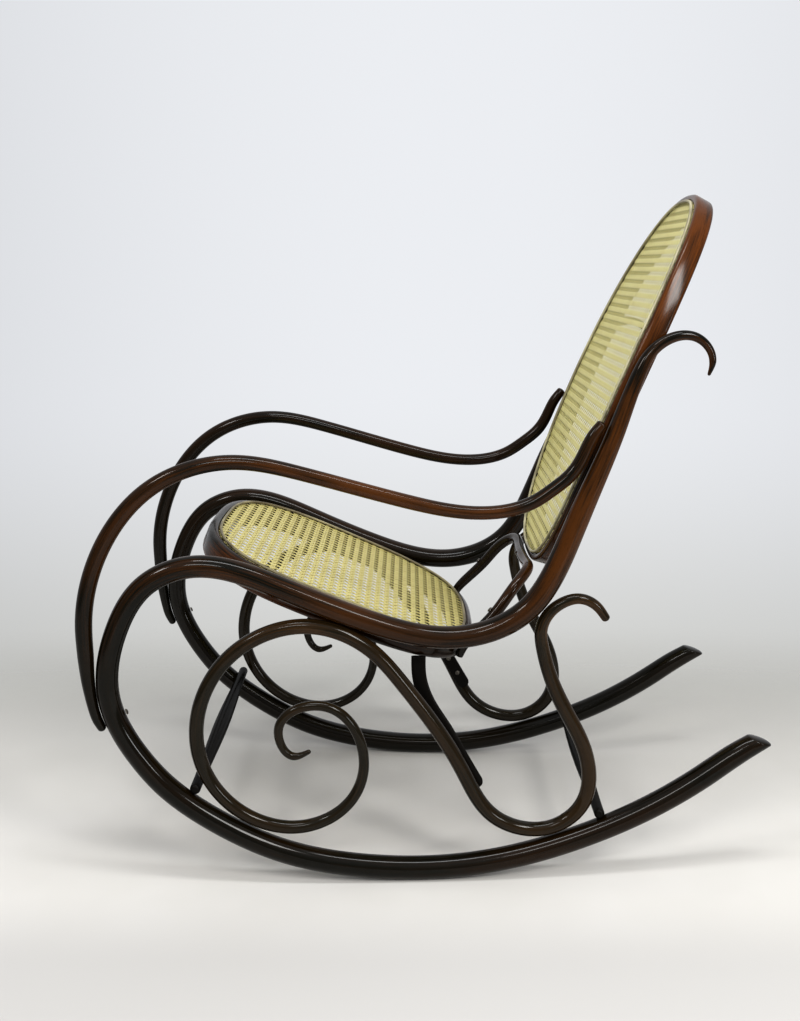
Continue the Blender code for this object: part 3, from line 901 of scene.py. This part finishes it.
def strand_points(border, direction, offset, step):
    """Points of one strand: its two ends and every whole step between them."""
    found = edge_hits(border, direction, offset)
    if found is None or found[1] - found[0] < 2.0 * step:
        return None
    first = math.ceil(found[0] / step + END_SHARE)
    last = math.floor(found[1] / step - END_SHARE)
    at = np.r_[found[0], np.arange(first, last + 1) * step, found[1]]
    normal = np.array((-direction[1], direction[0]))
    return at[:, None] * direction + offset * normal


def weave_height(places, pitch, kind, sign):
    """Height of a strand's middle over the panel's middle: size * sine of its direction."""
    x, y = places.T / pitch * 2.0 * math.pi
    wave = {"length": np.sin(y), "cross": -np.sin(x), "diagonal": np.cos(x)}[kind]
    size = DIAGONAL_WEAVE if kind == "diagonal" else WEAVE
    return sign * size * wave


def ribbons(name, strands, width, place):
    """Flat ribbons with a narrower top than underside, four points at each station.

    A point is the strand's place + section x * width * sideways, at the height of the
    weave + section y * thickness.
    """
    section = RIBBON_SECTION
    points, quads, grain = [], [], []
    start = 0
    for number, (places, height) in enumerate(strands):
        heading = unit(np.gradient(places, axis=0))
        side = np.column_stack((-heading[:, 1], heading[:, 0]))
        flat = places[:, None] + section[None, :, :1] * width * side[:, None]
        up = height[:, None] + section[None, :, 1] * STRAND_THICKNESS + CANE_MIDDLE
        rows = np.concatenate((flat, up[:, :, None]), -1).reshape(-1, 3)
        along = np.r_[0.0, np.cumsum(np.linalg.norm(np.diff(places, axis=0), axis=1))]
        row = np.arange(len(places) - 1)[:, None] * 4 + start
        here = np.arange(4)[None, :]
        after = (here + 1) % 4
        faces = np.stack((row + here, row + after, row + 4 + after, row + 4 + here), -1)
        last = start + len(rows) - 4
        ends = (start + here[:, ::-1], last + here)
        quads.append(np.vstack((faces.reshape(-1, 4), *ends)))
        across = np.tile(section[:, 0] * width, len(places))
        grain.append(np.column_stack((
            np.repeat(along, 4), across, np.full(len(across), float(number)),
        )))
        points.append(rows)
        start += len(rows)
    points = np.vstack(points)
    quads = np.vstack(quads)
    if volume_of(points, quads) < 0.0:
        quads = quads[:, ::-1]
    corner_grain = np.vstack(grain)[quads.ravel()]
    return mesh_piece(name, place(points), [quads], corner_grain)


print("a strand is", STRAND_WIDTH / MM, "mm wide")

# %% [markdown]
# ## Which strands a panel has
# A cane worker pegs pairs lengthwise, then crosswise, then weaves the two diagonals. Drawn
# one by one that is hundreds of strands; as a rule it is four lines: every whole pitch for
# the pairs and every half step between them for the diagonals. A strand is kept where its
# line crosses the panel, and it ends under the bead.

# %% Weave both panels
CANE_REACH = 0.0008
BORDER_POINTS = 600
HALF_SPREAD = 0.5
STEPS_A_PITCH = 4
SLANT = math.sqrt(0.5)
DIRECTIONS = (
    ("lengthwise", (0.0, 1.0), "length", 1.0),
    ("crosswise", (1.0, 0.0), "cross", 1.0),
    ("rising", (SLANT, SLANT), "diagonal", 1.0),
    ("falling", (-SLANT, SLANT), "diagonal", -1.0),
)


def woven_strands(border, pitch, direction, kind, sign):
    """All the strands of one direction that fit inside the border.

    Pairs lie at whole pitches, plus or minus the pair offset. Diagonals lie halfway
    between, at (whole number + 1/2) * pitch * sqrt(1/2).
    """
    slanted = kind == "diagonal"
    spacing = pitch * (SLANT if slanted else 1.0)
    shifts = (spacing / 2.0,) if slanted else (-PAIR_OFFSET, PAIR_OFFSET)
    strands = []
    count = int(HALF_SPREAD / spacing)
    for number in range(-count, count + 1):
        for shift in shifts:
            offset = number * spacing + shift
            step = spacing / STEPS_A_PITCH
            places = strand_points(border, np.array(direction), offset, step)
            if places is None:
                continue
            lift = sign if slanted else math.copysign(1.0, shift)
            strands.append((places, weave_height(places, pitch, kind, lift)))
    return strands


for name, rim, sizes, place, pitch in PANELS:
    points, inward, along = even_outline(rim, BORDER_POINTS)
    inset = sizes["rim"] + CANE_INSET + CANE_REACH
    border = points + inward * inset
    for label, direction, kind, sign in DIRECTIONS:
        strands = woven_strands(border, pitch, direction, kind, sign)
        width = DIAGONAL_WIDTH if kind == "diagonal" else STRAND_WIDTH
        mesh = ribbons(f"{name}_cane_{label}", strands, width, place)
        add_piece(mesh.name, mesh, CANE_FINISHES[name], f"{name}_cane")
        print(mesh.name, len(strands), "strands", 2 * len(mesh.polygons), "triangles")

# %% [markdown]
# ## Struts
# A flat bar runs from under the seat hoop down the inner face of each scroll's diagonal. It
# is swept as the rods are, but round sections would make it a rod: the section is a rounded
# rectangle, thinner than it is wide, and its lower end is rounded like a spoon.

# %% Struts
# Rows of (X, Y, Z) in millimetres, for the left strut.
STRUT_LINE = (
    (201, -17, 349), (204, -16, 320), (211, -3, 280), (215, 22, 240), (217, 48, 194),
    (218, 72, 152),
)
STRUT_WIDTH = 0.022
STRUT_THICKNESS = 0.009
STRUT_NOSES = (0.1, 1.0)
STRUT_SQUARE = 5.0

for label, side in SIDES:
    marks = np.array(STRUT_LINE, dtype=float) * MM * (side, 1.0, 1.0)
    marks = np.column_stack((marks, np.full(len(marks), STRUT_WIDTH)))
    line = rounded_ends(thin_out(smooth_line(marks)), STRUT_NOSES)
    flatten = (1.0, STRUT_THICKNESS / STRUT_WIDTH)
    rings, grain = sweep(line, np.array((side, 0.0, 0.0)), flatten, STRUT_SQUARE)
    mesh = skin(f"strut_{label}_wood", rings, grain)
    add_piece(mesh.name, mesh, turned_finish, f"strut_{label}")
    print("strut", label, len(mesh.polygons), "faces")

# %% [markdown]
# ## Stretchers
# Two bars join the runners. They are turned on a lathe, so a Spin of a profile would make
# them too; a straight sweep does the same with the helpers at hand. The radius swells to
# the middle as a squared cosine.

# %% Stretchers
STRETCHER_END_RADIUS = 0.008
STRETCHER_MID_RADIUS = 0.0125
STRETCHER_POINTS = 61
STRETCHER_NOSE = 0.7
RUNNER_RADIUS = 0.018
STRETCHERS = (("front_stretcher", (-0.3553, 0.1573)), ("rear_stretcher", (0.2635, 0.1040)))

for name, (y, z) in STRETCHERS:
    reach = side_plane_x(y) + RUNNER_RADIUS / 2.0 - STRETCHER_END_RADIUS * STRETCHER_NOSE
    at = np.linspace(-1.0, 1.0, STRETCHER_POINTS)
    swell = STRETCHER_MID_RADIUS - STRETCHER_END_RADIUS
    radius = STRETCHER_END_RADIUS + swell * np.cos(at * math.pi / 2.0) ** 2
    level = np.ones_like(at)
    line = np.column_stack((at * reach, y * level, z * level, 2.0 * radius))
    line = rounded_ends(line, (STRETCHER_NOSE, STRETCHER_NOSE))
    rings, grain = sweep(line, np.array((0.0, 0.0, 1.0)))
    mesh = skin(f"{name}_wood", rings, grain)
    add_piece(mesh.name, mesh, turned_finish, name)
    print(name, len(mesh.polygons), "faces")

# %% [markdown]
# ## Screws
# The screw heads' shape is already right in the CAD model, slot and all, so they stay and
# only get the worn steel.

# %% Screw heads
screws = [item for name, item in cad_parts.items() if "screw" in name]
for screw in screws:
    screw.data.materials.clear()
    screw.data.materials.append(steel_finish)
print(len(screws), "screw heads")

# %% [markdown]
# ## The floor
# The chair stands on a pale floor that fades into the bright room, so no hard horizon cuts
# behind it. A curved backdrop would do that too, but it stands in the way of other views.
# So Alpha falls with distance from a point beside the chair, and the room's colour shows
# through. The floor's colour is painted darker beyond the chair and close in front: painted
# shade. Every ramp here eases in and out: a straight ramp leaves a visible line where it
# starts.


# %% Floor
FLOOR_REACH = 6.0
FADE_CENTRE = (0.75, 0.0, 0.0)
FADE_SQUASH = (1.0, 0.5, 0.0)
FADE_DISTANCE = (1.05, 1.85)
FAR_TO_MIDDLE = (-0.95, 0.35)
MIDDLE_TO_NEAR = (0.28, 0.48)
FAR_FLOOR_PAINTED_SHADE = (0.49, 0.48, 0.45)
MIDDLE_FLOOR = ((0.70, 0.68, 0.645), (0.75, 0.73, 0.70))
NEAR_FLOOR_PAINTED_SHADE = (0.60, 0.585, 0.565)
FLOOR_CLOUDS = ((3.0, 3.0, 3.0), 3.0)


def pale_floor(name):
    """Warm pale grey, faintly clouded, with painted shade beyond the chair and close in front,
    that fades out round the chair.
    """
    matt = {"Roughness": 0.8, "Specular IOR Level": 0.0}
    material, shader, start = finish_material(name, matt)
    place = start.place()
    from_centre = place.vector("SUBTRACT", FADE_CENTRE).vector("MULTIPLY", FADE_SQUASH)
    distance = from_centre.vector("LENGTH", output="Value")
    across = place.axis("X")
    middle = place.noise(*FLOOR_CLOUDS).rise(0.3, 0.7).blend(*MIDDLE_FLOOR)
    # Painted shade: the floor's colour darkens beyond the chair and close in front.
    near = across.ease(*MIDDLE_TO_NEAR).blend(middle, NEAR_FLOOR_PAINTED_SHADE)
    feed(material.node_tree, shader, {
        "Base Color": across.ease(*FAR_TO_MIDDLE).blend(FAR_FLOOR_PAINTED_SHADE, near),
        "Alpha": distance.ease(*FADE_DISTANCE, 1.0, 0.0),
    })
    return material


floor_mesh = bpy.data.meshes.new("floor")
corners = np.array(((-1, -1, 0), (1, -1, 0), (1, 1, 0), (-1, 1, 0)), dtype=float) * FLOOR_REACH
floor_mesh.from_pydata(corners.tolist(), [], [(0, 1, 2, 3)])
floor = bpy.data.objects.new("floor", floor_mesh)
floor_mesh.materials.append(pale_floor("pale_floor"))
bpy.context.scene.collection.objects.link(floor)
print("floor", FLOOR_REACH * 2, "m square")

# %% [markdown]
# ## The lights
# Round polished rods show every light as a thin bright line along them, and a flat hoop
# shows it as a spot. One huge soft light would spread that line over the whole rod and wash
# the dark wood out. So there are a few windows of modest size on the camera's side, two of
# them high, one between them and one low towards the rear, and a long light overhead for
# the upper edges.

# %% Lights
# Each light: its place, the point it looks at, its size, its power in watts and its colour.
LIGHTS = (
    ("right_window", (2.2, 1.5, 2.3), (0.0, 0.1, 0.4), (0.7, 1.1), 46.0, (1.0, 0.99, 0.97)),
    ("left_window", (1.7, -1.9, 2.4), (0.0, -0.1, 0.4), (0.35, 0.55), 13.0, (1.0, 0.99, 0.97)),
    ("low_window", (2.3, 2.2, 0.9), (0.0, 0.2, 0.7), (0.4, 0.8), 16.0, (0.97, 0.99, 1.0)),
    ("front_window", (2.4, -0.5, 2.0), (0.0, 0.0, 0.4), (0.8, 0.25), 9.0, (1.0, 0.99, 0.97)),
    ("ceiling", (0.9, 0.0, 2.8), (0.0, 0.0, 0.4), (1.6, 0.3), 24.0, (0.97, 0.99, 1.0)),
)


def hang_light(name, place, aim, size, power, colour):
    """A rectangular soft light at a place, aimed at a point."""
    light = bpy.data.lights.new(name, "AREA")
    light.shape = "RECTANGLE"
    light.size, light.size_y = size
    light.energy = power
    light.color = colour
    item = bpy.data.objects.new(name, light)
    item.location = place
    item.rotation_mode = "QUATERNION"
    item.rotation_quaternion = (Vector(aim) - Vector(place)).to_track_quat("-Z", "Y")
    bpy.context.scene.collection.objects.link(item)


for settings in LIGHTS:
    hang_light(*settings)
print(len(LIGHTS), "lights")

# %% [markdown]
# ## The room
# The room is only a colour for each direction. It is bright and a little blue behind the
# chair, warmer and darker towards the floor, weaker to the front and rear, and dim on the
# side that the camera stands on. Polished wood mirrors that dim side, which is what makes
# it look dark and deep: a polished thing shows its surroundings more than itself. The
# Standard view keeps the pale wall pale, and a gamma a little under 1 deepens the darks.


# %% World
WALL = (0.86, 0.875, 0.905)
LOW_WALL = (0.63, 0.63, 0.60)
DIM_SIDE = (0.34, 0.34, 0.34)
WALL_FOOT = (-0.42, -0.10)
DIM_FROM = (-0.35, 0.45)
DIM_BELOW = (0.25, 0.70, 1.0, 0.1)
SIDE_STRENGTH = (0.5, 1.0, 0.65, 1.0)
VIEW_GAMMA = 0.85


def room_light():
    """Background colour by direction: wall behind, low wall below, dim by the camera.

    Strength follows 1 - 1.1 * y^2 + 0.1 * y, where y is the direction's part to the rear.
    """
    world = bpy.data.worlds.new("room")
    world.use_nodes = True
    background = world.node_tree.nodes["Background"]
    start = Wire(world.node_tree)
    direction = start.node("ShaderNodeTexCoord", None, None, "Generated")
    x, y, z = (direction.axis(letter) for letter in "XYZ")
    wall = z.ease(*WALL_FOOT).blend(LOW_WALL, WALL)
    dim = x.rise(*DIM_FROM) * z.rise(*DIM_BELOW)
    strength = (1.0 - y * y * 1.1 + y * 0.1).rise(*SIDE_STRENGTH)
    colour = dim.blend(wall, DIM_SIDE)
    feed(world.node_tree, background, {"Color": colour, "Strength": strength})
    return world


bpy.context.scene.world = room_light()
bpy.context.scene.view_settings.view_transform = "Standard"
bpy.context.scene.view_settings.gamma = VIEW_GAMMA
print("room ready")

# %% [markdown]
# The visual model may not outgrow the CAD model by more than a few percent.
